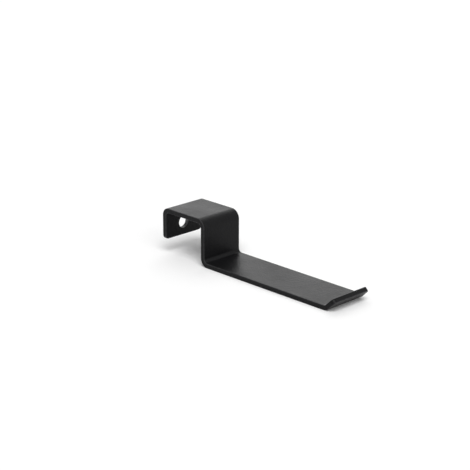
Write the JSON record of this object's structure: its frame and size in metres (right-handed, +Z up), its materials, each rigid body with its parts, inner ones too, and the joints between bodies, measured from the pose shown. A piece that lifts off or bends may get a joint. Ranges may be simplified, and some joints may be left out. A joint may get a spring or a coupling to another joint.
{
  "type": "rack cable hook",
  "caption": "Folded steel strip hook: an upside-down U that saddles a rail, with a long flat arm and an upturned lip that hold cables.",
  "frame": {"origin": "on the rail's top, where the underside of the top plate seats, midway between the legs and midway across the strip", "axes": "+X from the saddle along the arm towards the lip, +Y across the strip, +Z up, away from the rail"},
  "size_m": [0.1186, 0.025, 0.025],
  "materials": {
    "powder_coat": "fine textured powder coat, satin black"
  },
  "bodies": {
    "root": {"cable_hook": "powder_coat"}
  },
  "joints": []
}
